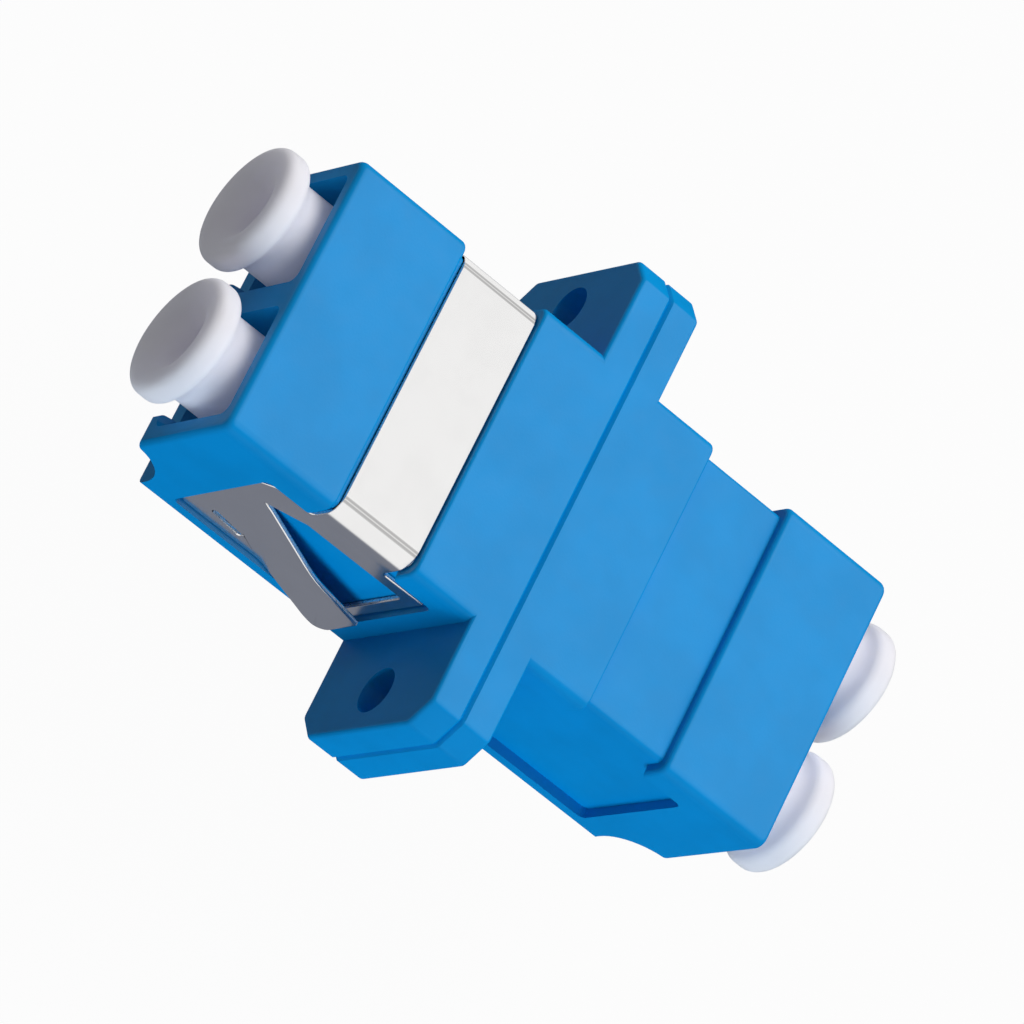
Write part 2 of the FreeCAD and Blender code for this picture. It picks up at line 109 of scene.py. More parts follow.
class Signal:
    """A shader socket that takes part in Python expressions."""

    def __init__(self, graph: Graph, socket: bpy.types.NodeSocket) -> None:
        """Wraps a socket.

        Args:
            graph: The node graph that the socket belongs to.
            socket: The output socket.
        """
        self.graph = graph
        self.socket = socket

    def _maths(self, operation: str, *values: Signal | float) -> Signal:
        """Adds a Math node and returns its result."""
        return self.graph.add("ShaderNodeMath", {"operation": operation}, dict(enumerate(values)))

    def __add__(self, other: Signal | float) -> Signal:
        """Sum."""
        return self._maths("ADD", self, other)

    def __sub__(self, other: Signal | float) -> Signal:
        """Difference."""
        return self._maths("SUBTRACT", self, other)

    def __mul__(self, other: Signal | float) -> Signal:
        """Product."""
        return self._maths("MULTIPLY", self, other)

    def __pow__(self, other: float) -> Signal:
        """Power."""
        return self._maths("POWER", self, other)

    def absolute(self) -> Signal:
        """Size without the sign."""
        return self._maths("ABSOLUTE", self)

    def largest(self, other: Signal | float) -> Signal:
        """The higher of two values."""
        return self._maths("MAXIMUM", self, other)

    def smooth(self, low: float, high: float) -> Signal:
        """Smooth step.

        Args:
            low: Value at which the result is 0.
            high: Value at which the result is 1.

        Returns:
            A value from 0 to 1.
        """
        settings = {"interpolation_type": "SMOOTHSTEP"}
        limits = {"Value": self, "From Min": low, "From Max": high}
        return self.graph.add("ShaderNodeMapRange", settings, limits)


class Graph:
    """The node graph of one material or of the world."""

    def __init__(self, owner: bpy.types.Material | bpy.types.World) -> None:
        """Empties the owner's node tree.

        Args:
            owner: The material or world whose nodes are written.
        """
        owner.use_nodes = True
        self.output_kind = f"ShaderNodeOutput{owner.bl_rna.identifier}"
        self.tree = owner.node_tree
        self.tree.nodes.clear()

    def add(self, kind: str, settings: dict[str, Any] | None = None,
            inputs: dict[str | int, Any] | None = None, output: str | int = 0) -> Signal | None:
        """Adds one node.

        Args:
            kind: The node's type.
            settings: Values set on the node itself.
            inputs: Socket values or Signals, by socket name or number.
            output: The output socket that is returned.

        Returns:
            The chosen output, or None from a node without outputs.
        """
        node = self.tree.nodes.new(kind)
        for name, value in (settings or {}).items():
            setattr(node, name, value)
        for key, value in (inputs or {}).items():
            if isinstance(value, Signal):
                self.tree.links.new(value.socket, node.inputs[key])
            else:
                node.inputs[key].default_value = value
        return Signal(self, node.outputs[output]) if node.outputs else None

    def mix(self, factor: Signal | float, first: Signal | Colour, second: Signal | Colour) -> Signal:
        """Mixes two colours.

        Args:
            factor: Share of the second colour.
            first: Colour at factor 0.
            second: Colour at factor 1.

        Returns:
            The mixed colour.
        """
        low, high = (value if isinstance(value, Signal) else (*value, 1) for value in (first, second))
        # The Mix node keeps its colours in inputs 6 and 7 and in output 2
        return self.add("ShaderNodeMix", {"data_type": "RGBA"}, {0: factor, 6: low, 7: high}, 2)

    def blend(self, factor: Signal, first: Signal, second: Signal) -> Signal:
        """Mixes two shaders.

        Args:
            factor: Share of the second shader.
            first: Shader at factor 0.
            second: Shader at factor 1.

        Returns:
            The mixed shader.
        """
        return self.add("ShaderNodeMixShader", inputs={0: factor, 1: first, 2: second})

    def place(self) -> Signal:
        """The point on the object, in metres."""
        return self.add("ShaderNodeTexCoord", output="Object")

    def place_mm(self) -> list[Signal]:
        """The three parts of the point on the object, in millimetres."""
        return [part * (1 / MM) for part in self.axes(self.place())]

    def axes(self, vector: Signal) -> list[Signal]:
        """The three parts of a vector."""
        parts = self.add("ShaderNodeSeparateXYZ", inputs={0: vector}).socket.node
        return [Signal(self, socket) for socket in parts.outputs]

    def noise(self, grain: float, detail: float = 2.0, stretch: Point = (1, 1, 1)) -> Signal:
        """Noise of a given grain.

        Args:
            grain: Size of one grain, in millimetres.
            detail: Octaves of finer noise.
            stretch: How many times longer the grain is along each axis.

        Returns:
            A value near 0.5, from 0 to 1.
        """
        scale = [1 / (grain * MM * times) for times in stretch]
        spot = self.add("ShaderNodeMapping", inputs={"Vector": self.place(), "Scale": scale})
        return self.add("ShaderNodeTexNoise", inputs={"Vector": spot, "Scale": 1.0, "Detail": detail})

    def cloud(self, patch: float, detail: float = 2.0) -> Signal:
        """Soft patches.

        Args:
            patch: Size of one patch, in millimetres.
            detail: Octaves of finer noise.

        Returns:
            A value from 0 to 1.
        """
        return self.noise(patch, detail).smooth(CLOUD_FROM, CLOUD_FULL)

    def bump(self, height: Signal, depth: float) -> Signal:
        """Surface relief.

        Args:
            height: Height, from 0 to 1.
            depth: Depth of the relief, in millimetres.

        Returns:
            The bent normal.
        """
        return self.add("ShaderNodeBump", inputs={"Height": height, "Distance": depth * MM})

    def finish(self, shader: Signal) -> None:
        """Makes a shader the surface of the material or world."""
        self.add(self.output_kind, inputs={"Surface": shader})


def shaded(colour: Colour, share: float) -> Colour:
    """A colour at a share of its brightness, up to white.

    Args:
        colour: The colour.
        share: Its brightness against the first, 1 for no change.

    Returns:
        The darker or lighter colour.
    """
    return tuple(min(1.0, part * share) for part in colour)


def new_material(name: str) -> tuple[bpy.types.Material, Graph]:
    """Starts an empty material.

    Args:
        name: The material's name.

    Returns:
        The material and its node graph.
    """
    material = bpy.data.materials.new(name)
    return material, Graph(material)


@dataclass(frozen=True)
class MouldedPlastic:
    """Opaque satin plastic from a lightly textured mould, with its own faint gloss and a painted sheen: more
    gloss where it faces up or along the ports, by facing alone.
    """

    name: str
    colour: Colour
    roughness: float = 0.42
    roughness_spread: float = 0.16
    roughness_patch: float = 0.9
    mottle: float = 0.05
    mottle_patch: float = 3.2
    flow_patch: float = 1.4
    flow_stretch: float = 3.0
    flow_from: float = 0.52
    flow_full: float = 0.75
    flow_shade: float = 0.25
    grain: float = 0.11
    grain_depth: float = 0.004
    # side_sheen is the plastic's own gloss; the top and end shares add a painted sheen by facing
    side_sheen: float = 0.014
    top_sheen: float = 0.064
    end_sheen: float = 0.06
    up_from: float = 0.82
    up_full: float = 0.98
    end_from: float = 0.85
    end_full: float = 0.985

    def build(self) -> bpy.types.Material:
        """Writes the material."""
        material, graph = new_material(self.name)
        spread = graph.noise(self.roughness_patch, 3.0) - 0.5
        surface = {
            "Roughness": spread * self.roughness_spread + self.roughness,
            "Normal": graph.bump(graph.noise(self.grain, 3.0), self.grain_depth)}
        body = graph.add("ShaderNodeBsdfPrincipled", inputs={
            "Base Color": self._moulded_colour(graph), "Specular IOR Level": 0.0, **surface})
        skin = graph.add("ShaderNodeBsdfAnisotropic", inputs={"Color": (1, 1, 1, 1), **surface})
        # Painted sheen: more white gloss on upward and end faces, chosen by facing, not by any change in the
        # plastic
        graph.finish(graph.blend(self._sheen(graph), body, skin))
        return material

    def _moulded_colour(self, graph: Graph) -> Signal:
        """The moulded colour, with faint clouds and flow marks."""
        darker = shaded(self.colour, 1 - self.mottle)
        lighter = shaded(self.colour, 1 + self.mottle)
        streaks = graph.noise(self.flow_patch, 4.0, (self.flow_stretch, 1, 1))
        flow = streaks.smooth(self.flow_from, self.flow_full)
        clouded = graph.mix(graph.cloud(self.mottle_patch, 3.0), darker, lighter)
        return graph.mix(flow * self.flow_shade, clouded, darker)

    def _sheen(self, graph: Graph) -> Signal:
        """Share of gloss by the way that a face looks: the plastic's own gloss aside, plus a painted sheen on
        faces that look up or along the ports.
        """
        along, _, upward = graph.axes(graph.add("ShaderNodeTexCoord", output="Normal"))
        facing_end = along.absolute().smooth(self.end_from, self.end_full)
        facing_up = upward.smooth(self.up_from, self.up_full)
        return (facing_up * (self.top_sheen - self.side_sheen)
                + facing_end * (self.end_sheen - self.side_sheen) + self.side_sheen)


@dataclass(frozen=True)
class CapPlastic:
    """Soft off-white plastic that lets a little light through, with a faint painted glow that lightens it all
    over though it is no lamp.
    """

    name: str
    colour: Colour
    roughness: float = 0.4
    roughness_spread: float = 0.12
    refraction: float = 1.5
    glow: float = 0.06
    light_reach: float = 1.3
    roughness_patch: float = 0.7
    cloud_patch: float = 2.4
    cloud_shade: float = 0.965
    grain: float = 0.2
    grain_depth: float = 0.003

    def build(self) -> bpy.types.Material:
        """Writes the material."""
        material, graph = new_material(self.name)
        cloud = graph.cloud(self.cloud_patch)
        spread = graph.noise(self.roughness_patch, 3.0) - 0.5
        graph.finish(graph.add("ShaderNodeBsdfPrincipled", inputs={
            "Base Color": graph.mix(cloud, shaded(self.colour, self.cloud_shade), self.colour),
            "Roughness": spread * self.roughness_spread + self.roughness,
            "IOR": self.refraction,
            "Subsurface Weight": 1.0,
            "Subsurface Scale": self.light_reach * MM,
            "Subsurface Radius": (1.0, 1.0, 1.0),
            # Painted glow: a faint emission in the cap's own colour lightens its shaded sides
            "Emission Color": (*self.colour, 1.0),
            "Emission Strength": self.glow,
            "Normal": graph.bump(graph.noise(self.grain, 3.0), self.grain_depth)}))
        return material


@dataclass(frozen=True)
class SpringSteel:
    """Bright rolled strip, with fine rolling lines along its length and a painted shade line beside each
    fold, darker base colour where the flat turns into the bend.
    """

    name: str
    colour: Colour
    roughness: float = 0.2
    roughness_of_lines: float = 0.1
    roughness_of_blotches: float = 0.05
    line_width: float = 0.05
    line_stretch: float = 60.0
    line_depth: float = 0.0006
    blotch_patch: float = 1.6
    blotch_from: float = 0.35
    blotch_full: float = 0.7
    blotch_shade: float = 0.975
    turn_start: float = 7.3
    turn_radius: float = 2.4
    # Painted shade line beside each fold: where it lies, how wide and how dark
    crease_y: float = 5.57
    crease_offset: float = 0.07
    crease_reach: float = 0.09
    crease_core: float = 0.02
    crease_strength: float = 0.6
    crease_shade: float = 0.25

    def build(self) -> bpy.types.Material:
        """Writes the material."""
        material, graph = new_material(self.name)
        _, y, z = graph.place_mm()
        lines = graph.noise(self.line_width, stretch=(1, self.line_stretch, self.line_stretch))
        blotch = graph.noise(self.blotch_patch, 3.0)
        blotched = blotch.smooth(self.blotch_from, self.blotch_full)
        colour = graph.mix(blotched, self.colour, shaded(self.colour, self.blotch_shade))
        # Painted shade: a dark line in the base colour just beside each fold, where the flat top meets the
        # bend
        beside_fold = ((y.absolute() - self.crease_y).absolute() - self.crease_offset).absolute()
        painted_shade_line = beside_fold.smooth(self.crease_reach, self.crease_core) * self.crease_strength
        roughness = (lines - 0.5) * self.roughness_of_lines + (blotch - 0.5) * self.roughness_of_blotches
        # Relief in millimetres: the side plate's top leans back in a round
        set_back = (z - self.turn_start).largest(0.0) ** 2.0 * (-0.5 / self.turn_radius)
        graph.finish(graph.add("ShaderNodeBsdfPrincipled", inputs={
            "Base Color": graph.mix(painted_shade_line, colour, shaded(self.colour, self.crease_shade)),
            "Metallic": 1.0,
            "Roughness": roughness + self.roughness,
            "Normal": graph.bump(lines * self.line_depth + set_back, 1.0)}))
        return material


@dataclass(frozen=True)
class ShearedSteel:
    """Cut edge of the strip, duller than its faces and a little torn."""

    name: str
    colour: Colour
    roughness: float = 0.28
    roughness_spread: float = 0.1
    metal: float = 0.6
    tear_patch: float = 0.25
    tear_from: float = 0.35
    tear_full: float = 0.7
    tear_shade: float = 0.88

    def build(self) -> bpy.types.Material:
        """Writes the material."""
        material, graph = new_material(self.name)
        tears = graph.noise(self.tear_patch)
        torn = tears.smooth(self.tear_from, self.tear_full)
        colour = graph.mix(torn, self.colour, shaded(self.colour, self.tear_shade))
        graph.finish(graph.add("ShaderNodeBsdfPrincipled", inputs={
            "Base Color": colour,
            "Metallic": self.metal,
            "Roughness": (tears - 0.5) * self.roughness_spread + self.roughness}))
        return material


@dataclass(frozen=True)
class Zirconia:
    """Ground white ceramic."""

    name: str
    colour: Colour
    roughness: float = 0.18
    roughness_spread: float = 0.1
    refraction: float = 2.1
    cloud_patch: float = 1.0
    cloud_shade: float = 0.97
    grinding_width: float = 0.04
    grinding_stretch: float = 30.0
    grinding_depth: float = 0.0004

    def build(self) -> bpy.types.Material:
        """Writes the material."""
        material, graph = new_material(self.name)
        grinding = graph.noise(self.grinding_width, stretch=(1, self.grinding_stretch, self.grinding_stretch))
        cloud = graph.cloud(self.cloud_patch)
        graph.finish(graph.add("ShaderNodeBsdfPrincipled", inputs={
            "Base Color": graph.mix(cloud, self.colour, shaded(self.colour, self.cloud_shade)),
            "Roughness": (grinding - 0.5) * self.roughness_spread + self.roughness,
            "IOR": self.refraction,
            "Normal": graph.bump(grinding, self.grinding_depth)}))
        return material


@dataclass(frozen=True)
class Backdrop:
    """Pale floor: white to the camera, still with the adapter's shadow, and clear from below."""

    name: str
    colour: Colour
    whiteness: float = 0.965
    roughness: float = 0.9
    cloud_patch: float = 40.0
    cloud_shade: float = 0.99

    def build(self) -> bpy.types.Material:
        """Writes the material."""
        material, graph = new_material(self.name)
        tone = graph.mix(graph.cloud(self.cloud_patch), self.colour, shaded(self.colour, self.cloud_shade))
        matt = graph.add("ShaderNodeBsdfPrincipled", inputs={"Base Color": tone, "Roughness": self.roughness})
        white = graph.add("ShaderNodeEmission", inputs={"Color": (1, 1, 1, 1), "Strength": 1.0})
        front = graph.blend(seen_directly(graph) * self.whiteness, matt, white)
        underneath = graph.add("ShaderNodeNewGeometry", output="Backfacing")
        graph.finish(graph.blend(underneath, front, graph.add("ShaderNodeBsdfTransparent")))
        return material


def seen_directly(graph: Graph) -> Signal:
    """1 for rays from the camera and for those that gloss and clear pieces send on, 0 for diffuse ones."""
    paths = graph.add("ShaderNodeLightPath").socket.node.outputs
    rays = [Signal(graph, paths[f"Is {kind} Ray"]) for kind in ("Camera", "Glossy", "Transmission")]
    return rays[0].largest(rays[1]).largest(rays[2])


@dataclass
class Studio:
    """Floor, lamps, surroundings and camera."""

    ambient: float = 0.15
    underglow: Colour = (0.2, 0.213, 0.256)
    glow_starts: float = -0.25
    glow_full: float = 0.15
    floor_colour: Colour = (0.28, 0.28, 0.28)
    floor_size: float = 1600.0
    floor_gap: float = 8.0
    azimuth: float = -137.556
    elevation: float = 54.047
    roll: float = 80.131
    distance: float = 321.81
    lens: float = 282.03
    aim_aside: float = 3.053
    aim_up: float = 0.765
    sensor_width: float = 36.0
    nearest: float = 0.01
    farthest: float = 20.0

    def build(self) -> None:
        """Sets up everything round the adapter."""
        self._colour_management()
        self._world()
        self._floor()
        self._lamp("top_lamp", place=(60, 210, 300), size=200, level=0.94, tint=(1.0, 0.99, 0.98))
        self._lamp("side_lamp", place=(60, -330, 70), size=200, level=0.83, tint=(0.76, 0.89, 1.0))
        self._camera()

    def _colour_management(self) -> None:
        """Leaves colours as they are written."""
        bpy.context.scene.view_settings.view_transform = "Standard"

    def _world(self) -> None:
        """White to camera and gloss, dim to diffuse rays, and dim to gloss from below the horizon."""
        world = bpy.data.worlds.new("studio_surround")
        bpy.context.scene.world = world
        graph = Graph(world)
        height = graph.axes(graph.add("ShaderNodeTexCoord", output="Generated"))[2]
        above = height.smooth(self.glow_starts, self.glow_full)
        seen = graph.mix(above, self.underglow, (1.0, 1.0, 1.0))
        colour = graph.mix(seen_directly(graph), (self.ambient,) * 3, seen)
        graph.finish(graph.add("ShaderNodeBackground", inputs={"Color": colour, "Strength": 1.0}))

    def _floor(self) -> None:
        """Plain pale floor under the adapter."""
        bpy.ops.mesh.primitive_plane_add(size=self.floor_size * MM, location=(0, 0, -self.floor_gap * MM))
        floor = bpy.context.object
        floor.name = "studio_floor"
        floor.data.materials.append(Backdrop("backdrop_pale", self.floor_colour).build())
        floor.visible_glossy = False

    def _lamp(self, name: str, place: Point, size: float, level: float, tint: Colour) -> None:
        """Adds a square soft lamp aimed at the adapter.

        Args:
            name: The lamp's name.
            place: Where it hangs, in millimetres.
            size: Length of its side, in millimetres.
            level: Light that a white card facing it would send back, from 0 to 1.
            tint: Colour of the light.
        """
        data = bpy.data.lights.new(name, "AREA")
        data.size = size * MM
        data.color = tint
        span = Vector(place) * MM
        # On its axis a flat lamp gives energy / (pi * distance squared), and a card sends back 1 / pi of it
        data.energy = level * math.pi * math.pi * span.length_squared
        lamp = bpy.data.objects.new(name, data)
        lamp.location = span
        lamp.rotation_euler = span.to_track_quat("Z", "Y").to_euler()
        lamp.visible_glossy = False
        bpy.context.scene.collection.objects.link(lamp)

    def _camera(self) -> None:
        """Places the camera by its angles, its distance and the point that it aims at."""
        azimuth, elevation, roll = map(math.radians, (self.azimuth, self.elevation, self.roll))
        reach = math.cos(elevation)
        back = Vector((math.cos(azimuth) * reach, math.sin(azimuth) * reach, math.sin(elevation)))
        level = Vector((0, 0, 1)).cross(back).normalized()
        upright = back.cross(level)
        right = math.cos(roll) * level + math.sin(roll) * upright
        up = back.cross(right)
        aim = (right * self.aim_aside + up * self.aim_up) * MM
        data = bpy.data.cameras.new("studio_camera")
        data.lens = self.lens
        data.sensor_width = self.sensor_width
        data.clip_start = self.nearest
        data.clip_end = self.farthest
        camera = bpy.data.objects.new("studio_camera", data)
        turn = Matrix((right, up, back)).transposed().to_4x4()
        camera.matrix_world = Matrix.Translation(aim + back * self.distance * MM) @ turn
        bpy.context.scene.collection.objects.link(camera)
        bpy.context.scene.camera = camera


class Bench:
    """Operators that shape a piece in edit mode, as by hand."""

    @staticmethod
    def clear() -> None:
        """Leaves edit mode with nothing selected."""
        if bpy.context.mode != "OBJECT":
            bpy.ops.object.mode_set(mode="OBJECT")
        bpy.ops.object.select_all(action="DESELECT")

    @classmethod
    def pick(cls, piece: bpy.types.Object) -> None:
        """Makes one piece the only selected and active one."""
        cls.clear()
        piece.select_set(True)
        bpy.context.view_layer.objects.active = piece

    @classmethod
    def edit(cls, piece: bpy.types.Object, parts: str = "VERT") -> None:
        """Opens a piece in edit mode with all of it selected.

        Args:
            piece: The piece.
            parts: VERT, EDGE or FACE selection.
        """
        cls.pick(piece)
        bpy.ops.object.mode_set(mode="EDIT")
        bpy.ops.mesh.select_mode(type=parts)
        bpy.ops.mesh.select_all(action="SELECT")

    @classmethod
    def copy_node(cls, node: str, name: str, merge: float = MERGE) -> bpy.types.Object:
        """Copies a frame node as a piece with one merged skin and whole flat faces.

        Args:
            node: The frame node.
            name: The new piece's name.
            merge: Distance within which points become one, in metres.

        Returns:
            The copy.
        """
        cls.pick(frame["nodes"][node])
        bpy.ops.object.duplicate()
        piece = bpy.context.object
        piece.name = piece.data.name = name
        piece.parent = None
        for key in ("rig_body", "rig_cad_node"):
            if key in piece:
                del piece[key]
        cls.edit(piece)
        bpy.ops.mesh.remove_doubles(threshold=merge)
        bpy.ops.mesh.dissolve_limited(angle_limit=math.radians(FLAT_WITHIN))
        cls.clear()
        return piece

    @classmethod
    def hand_over(cls, piece: bpy.types.Object, body: Body, slot: Slot,
                  materials: Sequence[bpy.types.Material], *nodes: str) -> bpy.types.Object:
        """Dresses a finished piece and ties it to the frame.

        Args:
            piece: The piece.
            body: The body that it moves with.
            slot: Its finish in the parts list; not used.
            materials: Its materials, in order.
            nodes: The frame nodes that it stands for.

        Returns:
            The piece.
        """
        cls.pick(piece)
        bpy.ops.object.transform_apply(location=True, rotation=True, scale=True)
        piece.data.materials.clear()
        for material in materials:
            piece.data.materials.append(material)
        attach(piece, body.value)
        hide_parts(*nodes)
        cls.clear()
        return piece

    @classmethod
    def soften(cls, piece: bpy.types.Object, width: float, steps: int = 2, sharper_than: float = 38.0,
               left_sharp: Sequence[tuple[Point, Point]] = (), clamp: bool = True) -> None:
        """Rounds a piece's sharp edges and shades it smooth.

        Args:
            piece: The piece.
            width: Width of the rounding, in millimetres.
            steps: Faces across the rounding.
            sharper_than: Smallest angle of an edge that is rounded, in degrees.
            left_sharp: Low and high corners of boxes, with their mirror images, whose edges stay sharp.
            clamp: Whether the rounding shrinks all over where an edge is shorter than it.
        """
        cls.edit(piece, "EDGE")
        bpy.ops.mesh.select_all(action="DESELECT")
        bpy.ops.mesh.edges_select_sharp(sharpness=math.radians(sharper_than))
        cls.pick(piece)
        weights = piece.data.attributes.new("bevel_weight_edge", "FLOAT", "EDGE")
        for edge, weight in zip(piece.data.edges, weights.data):
            start, end = (piece.data.vertices[index].co for index in edge.vertices)
            middle = (start + end) / 2 / MM
            held = any(within(middle, *box) for box in left_sharp)
            weight.value = float(edge.select and not held)
        bpy.ops.object.shade_smooth_by_angle(angle=math.radians(sharper_than))
        bevel = piece.modifiers.new("edge_round", "BEVEL")
        bevel.width = width * MM
        bevel.segments = steps
        bevel.limit_method = "WEIGHT"
        bevel.miter_outer = "MITER_ARC" if clamp else "MITER_SHARP"
        bevel.use_clamp_overlap = clamp
        bevel.harden_normals = True
        bpy.ops.object.modifier_apply(modifier=bevel.name)
        weighted = piece.modifiers.new("flat_faces_first", "WEIGHTED_NORMAL")
        weighted.weight = 100
        weighted.keep_sharp = True
        bpy.ops.object.modifier_apply(modifier=weighted.name)
        cls.clear()


def dress(node: str, material: bpy.types.Material) -> None:
    """Gives a frame node its finish.

    Args:
        node: The node's name.
        material: The finish.
    """
    mesh = frame["nodes"][node].data
    mesh.materials.clear()
    mesh.materials.append(material)
    LOG.info("dressed %s with %s", node, material.name)


@dataclass(frozen=True)
class Finishes:
    """The materials that the sub-assemblies share."""

    plastic: bpy.types.Material
    steel: bpy.types.Material
    cut_steel: bpy.types.Material
    lanced_steel: bpy.types.Material
    ceramic: bpy.types.Material
    cap: bpy.types.Material

    @classmethod
    def build(cls) -> Finishes:
        """Writes every finish."""
        return cls(
            plastic=MouldedPlastic("housing_blue", (0.0, 0.255, 0.62)).build(),
            steel=SpringSteel("clip_bright_steel", (0.87, 0.865, 0.86)).build(),
            cut_steel=ShearedSteel("clip_cut_edge", (0.95, 0.91, 0.87)).build(),
            # Painted shadow: the slit's faces are near black to stand in for the shade inside the slit, not a
            # darker steel
            lanced_steel=ShearedSteel("clip_lanced_edge", (0.06, 0.06, 0.065), roughness=0.45).build(),
            ceramic=Zirconia("sleeve_white_ceramic", (0.9, 0.9, 0.86)).build(),
            cap=CapPlastic("cap_off_white", (0.81, 0.80, 0.865)).build())


@dataclass
class HousingHalf:
    """One moulded half of the housing, with its mould-soft edges."""

    end: End
    edge_width: float = 0.09

    def build(self, finishes: Finishes) -> bpy.types.Object:
        """Models and dresses the half.

        Args:
            finishes: The shared materials.

        Returns:
            The finished piece.
        """
        node = f"housing_half_{self.end.value}_end"
        skin = Bench.copy_node(node, f"moulding_{self.end.value}_end")
        Bench.soften(skin, self.edge_width)
        return Bench.hand_over(skin, Body.ADAPTER, Slot.HOUSING, [finishes.plastic], node)


class Layer(Enum):
    """The clip's materials, in their order on the piece."""

    FACE = 0
    CUT_EDGE = 1
    # the faces inside the slit, painted near black as shadow
    LANCED_EDGE = 2


@dataclass
class PanelClip:
    """The folded spring-steel clip, with its sheared edges."""

    edge_width: float = 0.085
    root_step: float = 0.012
    plate_top: float = 7.5
    face_tilt: float = 0.35
    end_tilt: float = 0.9
    radius_slack: float = 0.02
    outer_y: float = 6.2
    outer_z: float = 8.9
    formed_r: float = 0.57
    worked_r: float = 0.9
    slit_from: Point = (9.0, 0.0, 1.4)
    slit_to: Point = (11.5, 9.0, 2.5)
    ledge_from: Point = (9.94, 6.19, 5.398)
    ledge_to: Point = (10.21, 6.24, 5.402)

    def build(self, finishes: Finishes) -> bpy.types.Object:
        """Models and dresses the clip.

        Args:
            finishes: The shared materials.

        Returns:
            The finished piece.
        """
        skin = Bench.copy_node("panel_clip", "spring_clip", self.root_step * MM)
        self._blend_leg_roots(skin)
        self._ease_folds(skin)
        slit = (self.slit_from, self.slit_to)
        Bench.soften(skin, self.edge_width, left_sharp=[slit], clamp=False)
        layers = {Layer.FACE: finishes.steel, Layer.CUT_EDGE: finishes.cut_steel,
                  Layer.LANCED_EDGE: finishes.lanced_steel}
        materials = [layers[layer] for layer in Layer]
        piece = Bench.hand_over(skin, Body.ADAPTER, Slot.STEEL, materials, "panel_clip")
        self._mark_cut_edges(piece)
        return piece

    def _blend_leg_roots(self, skin: bpy.types.Object) -> None:
        """Draws the hair-thin ledge where each leg leaves its side plate back into the plate's face."""
        for vertex in skin.data.vertices:
            if within(vertex.co / MM, self.ledge_from, self.ledge_to):
                vertex.co.y = math.copysign(self.outer_y * MM, vertex.co.y)
        Bench.edit(skin)
        bpy.ops.mesh.remove_doubles(threshold=MERGE)
        bpy.ops.mesh.dissolve_degenerate(threshold=MERGE)
        Bench.clear()

    def _ease_folds(self, skin: bpy.types.Object) -> None:
        """Opens the outer round of both folds, where working thins and draws the sheet."""
        growth = self.worked_r / self.formed_r
        for side in (-1, 1):
            centre = Vector((0, side * (self.outer_y - self.formed_r), self.outer_z - self.formed_r)) * MM
            Bench.edit(skin)
            bpy.ops.mesh.select_all(action="DESELECT")
            bpy.ops.object.mode_set(mode="OBJECT")
            for vertex in skin.data.vertices:
                arm = vertex.co - centre
                reach = math.hypot(arm.y, arm.z) / MM
                beyond = min(arm.y * side, arm.z) > -MERGE
                vertex.select = beyond and abs(reach - self.formed_r) < self.radius_slack
            bpy.ops.object.mode_set(mode="EDIT")
            corner = Vector((0, side * self.outer_y, self.outer_z)) * MM
            bpy.ops.transform.resize(value=(1, growth, growth), center_override=corner)
            Bench.clear()

    def _mark_cut_edges(self, piece: bpy.types.Object) -> None:
        """Gives the edges of the sheet their sheared finish, and the faces inside the slit a near-black
        painted shadow.
        """
        for face in piece.data.polygons:
            ends_band = abs(face.normal.x) > self.end_tilt
            ends_plate = face.center.z < self.plate_top * MM and abs(face.normal.y) < self.face_tilt
            layer = Layer.FACE
            if ends_band or ends_plate:
                in_slit = within(face.center / MM, self.slit_from, self.slit_to)
                # faces inside the slit take the near-black painted shadow
                layer = Layer.LANCED_EDGE if in_slit else Layer.CUT_EDGE
            face.material_index = layer.value


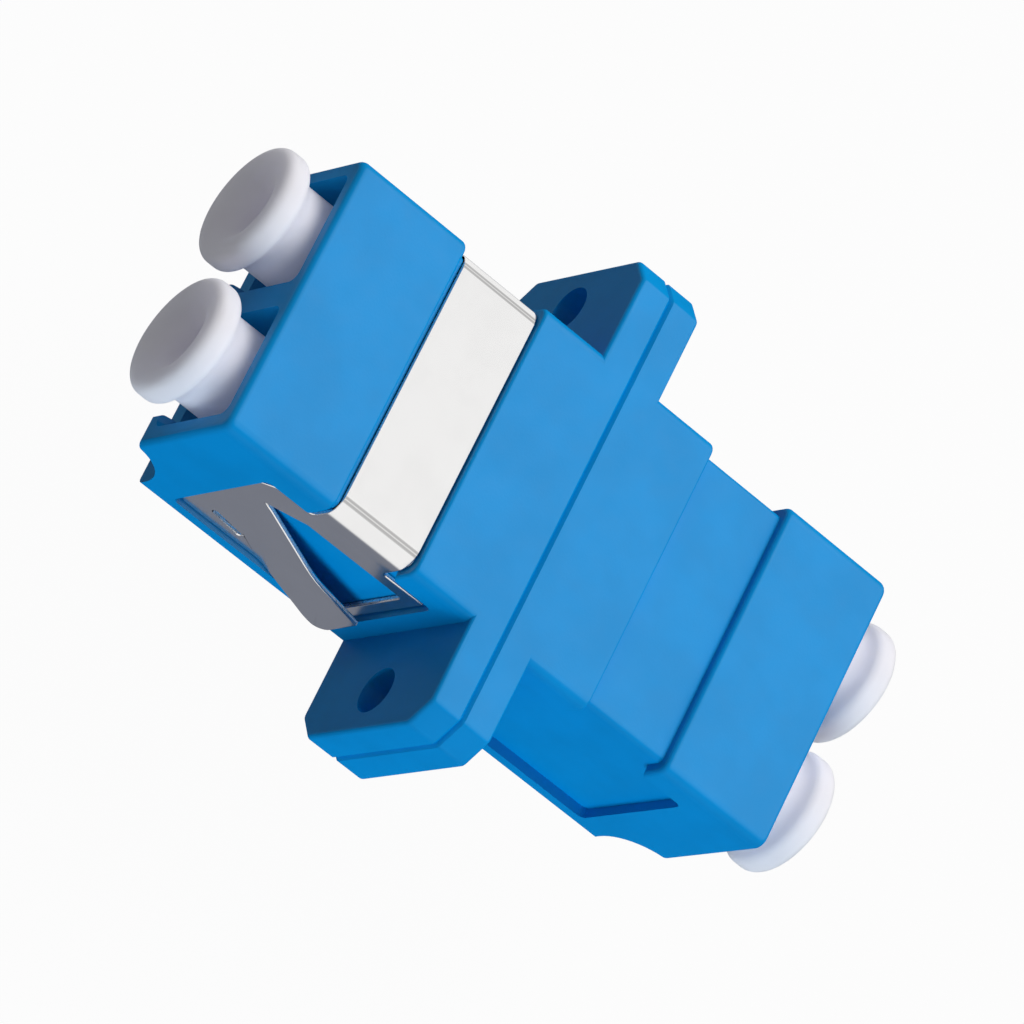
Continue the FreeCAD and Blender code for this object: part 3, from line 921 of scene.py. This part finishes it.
@dataclass
class DustCap:
    """A pull-out cap: a stem for the port, a flared head and a bell-shaped mouth over a blind pit."""

    node: str
    body: Body
    y: float
    sign: int
    axis_z: float = 5.95
    port_face: float = 14.85
    neck: float = 0.45
    stem_r: float = 2.03
    stem_length: float = 13.3
    lead: float = 0.3
    head_r: float = 2.73
    head_length: float = 1.86
    flare_length: float = 1.09
    cove_share: float = 0.64
    rim_r: float = 0.42
    pit_r: float = 0.95
    pit_depth: float = 5.0
    bore_r: float = 1.25
    bore_depth: float = 8.0
    edge_width: float = 0.06
    sharper_than: float = 40.0
    round_points: int = 9
    bell_points: int = 13
    steps: int = 96

    def profile(self) -> list[FlatPoint]:
        """Half section, from the inner end to the pit's floor: distance from the port face, and radius."""
        inner = self.neck - self.stem_length
        front = self.neck + self.head_length
        rise = self.head_r - self.stem_r
        turn = 2 * math.atan(rise / self.flare_length)
        swing = self.flare_length / math.sin(turn)
        cove_r = self.cove_share * swing
        back_r = swing - cove_r
        flare = self.neck + self.flare_length
        bell_r = self.head_r - self.rim_r - self.pit_r
        bore_floor = inner + self.bore_depth
        pit_floor = front - self.pit_depth
        count = self.round_points
        quarter = math.pi / 2
        return [
            (bore_floor, 0.0), (bore_floor, self.bore_r), (inner, self.bore_r),
            (inner, self.stem_r - self.lead), (inner + self.lead, self.stem_r),
            *arc((self.neck, self.stem_r + cove_r), cove_r, -quarter, turn - quarter, count),
            *arc((flare, self.head_r - back_r), back_r, quarter + turn, quarter, count)[1:],
            *arc((front - self.rim_r, self.head_r - self.rim_r), self.rim_r, quarter, 0, count),
            *arc((front - bell_r, self.pit_r + bell_r), bell_r, 0, -quarter, self.bell_points)[1:],
            (pit_floor, self.pit_r), (pit_floor, 0.0)]

    def build(self, finishes: Finishes) -> bpy.types.Object:
        """Models and dresses the cap.

        Args:
            finishes: The shared materials.

        Returns:
            The finished piece.
        """
        bpy.ops.mesh.primitive_plane_add(size=MM)
        cap = bpy.context.object
        cap.name = cap.data.name = f"turned_{self.node}"
        Bench.edit(cap)
        self._draw_profile()
        self._spin_profile()
        Bench.clear()
        Bench.soften(cap, self.edge_width, sharper_than=self.sharper_than)
        return Bench.hand_over(cap, self.body, Slot.CAP, [finishes.cap], self.node)

    def _draw_profile(self) -> None:
        """Draws the open piece down to one point and pulls the half section out of it."""
        bpy.ops.mesh.merge(type="CENTER")
        reached = Vector((0, 0, 0))
        for number, (along, radius) in enumerate(self.profile()):
            target = Vector((self.sign * (self.port_face + along), self.y + radius, self.axis_z)) * MM
            step = target - reached
            if number == 0:
                bpy.ops.transform.translate(value=step)
            else:
                bpy.ops.mesh.extrude_vertices_move(TRANSFORM_OT_translate={"value": step})
            reached = target

    def _spin_profile(self) -> None:
        """Spins the half section about the port's axis and closes the skin."""
        bpy.ops.mesh.select_all(action="SELECT")
        centre = Vector((0, self.y, self.axis_z)) * MM
        bpy.ops.mesh.spin(steps=self.steps, angle=2 * math.pi, center=centre, axis=(1, 0, 0))
        bpy.ops.mesh.select_all(action="SELECT")
        bpy.ops.mesh.remove_doubles(threshold=MERGE)
        bpy.ops.mesh.normals_make_consistent(inside=False)


def within(place: Vector, low: Point, high: Point) -> bool:
    """Whether a place lies in a box or in its mirror images.

    Args:
        place: The place.
        low: The box's low corner.
        high: The box's high corner.

    Returns:
        True where it does.
    """
    return all(start <= abs(along) <= end for start, along, end in zip(low, place, high))


def arc(centre: FlatPoint, radius: float, start: float, end: float, count: int) -> list[FlatPoint]:
    """Points along an arc.

    Args:
        centre: Its centre.
        radius: Its radius.
        start: Angle of its first point, in radians.
        end: Angle of its last point, in radians.
        count: How many points.

    Returns:
        The points, both ends among them.
    """
    along, across = centre
    angles = [start + (end - start) * step / (count - 1) for step in range(count)]
    return [(along + radius * math.cos(angle), across + radius * math.sin(angle)) for angle in angles]


def main() -> None:
    """Builds the studio, then dresses and adds the adapter's pieces."""
    logging.basicConfig(level=logging.INFO, format="%(name)s: %(message)s")
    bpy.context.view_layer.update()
    Studio().build()
    finishes = Finishes.build()
    pieces = [HousingHalf(end).build(finishes) for end in End]
    pieces.append(PanelClip().build(finishes))
    for end in End:
        for letter, side in (("a", -1), ("b", 1)):
            body = Body(f"cap_{end.value}_{letter}")
            node = f"dust_cap_{end.value}_end_{letter}"
            pieces.append(DustCap(node, body, side * PORT_PITCH / 2, end.sign).build(finishes))
    for piece in pieces:
        LOG.info("built %s with %d faces", piece.name, len(piece.data.polygons))
    for letter in "ab":
        dress(f"alignment_sleeve_{letter}", finishes.ceramic)


if __name__ == "__main__":
    main()
